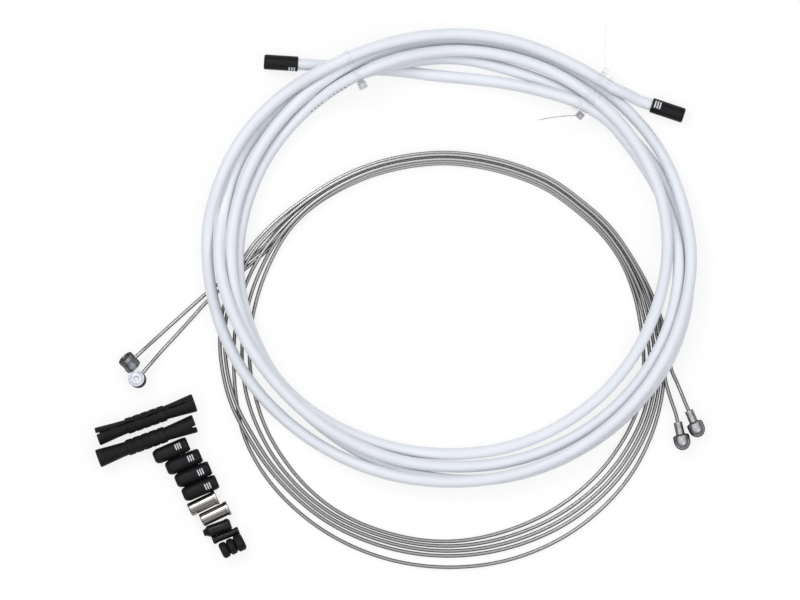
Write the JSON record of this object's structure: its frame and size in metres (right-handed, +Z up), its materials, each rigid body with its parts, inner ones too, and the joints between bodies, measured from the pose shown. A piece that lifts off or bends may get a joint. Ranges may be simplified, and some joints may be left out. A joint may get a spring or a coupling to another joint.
{
  "type": "bicycle brake cable",
  "caption": "Coiled bicycle brake cable set: outer housing with end caps and ties, stranded inner wires with cast heads, and loose end fittings.",
  "frame": {"origin": "middle of the whole set's box, on the surface that it lies on", "axes": "+X to the right along the longest side, from the fittings to the pear heads; +Y away, from the donut rings to the housing's ferrules; +Z up out of the coil"},
  "size_m": [0.26, 0.2328, 0.0184],
  "materials": {
    "housing_plastic": "satin white with a faint blue tint",
    "ferrule_black": "matte black",
    "tie_nylon": "clear nylon",
    "wire_steel": "twisted stainless strands",
    "head_zinc": "cast, dull",
    "sleeve_rubber": "matte black rubber",
    "ferrule_nickel": "bright nickel plate",
    "end_plastic": "semi-matte black"
  },
  "bodies": {
    "root": {"housing": "housing_plastic", "housing_ferrule_left": "ferrule_black", "housing_ferrule_right": "ferrule_black", "tie_left": "tie_nylon", "tie_right": "tie_nylon", "tie_loose": "tie_nylon", "inner_wire_short": "wire_steel", "inner_wire_long": "wire_steel", "barrel_head_a": "head_zinc", "barrel_head_b": "head_zinc", "pear_head_a": "head_zinc", "pear_head_b": "head_zinc", "frame_sleeve_a": "sleeve_rubber", "frame_sleeve_b": "sleeve_rubber", "black_ferrule_a": "ferrule_black", "black_ferrule_b": "ferrule_black", "black_ferrule_c": "ferrule_black", "black_ferrule_d": "ferrule_black", "silver_ferrule_a": "ferrule_nickel", "silver_ferrule_b": "ferrule_nickel", "end_nose": "end_plastic", "end_stem": "end_plastic", "donut_a": "sleeve_rubber", "donut_b": "sleeve_rubber", "donut_c": "sleeve_rubber"}
  },
  "joints": []
}
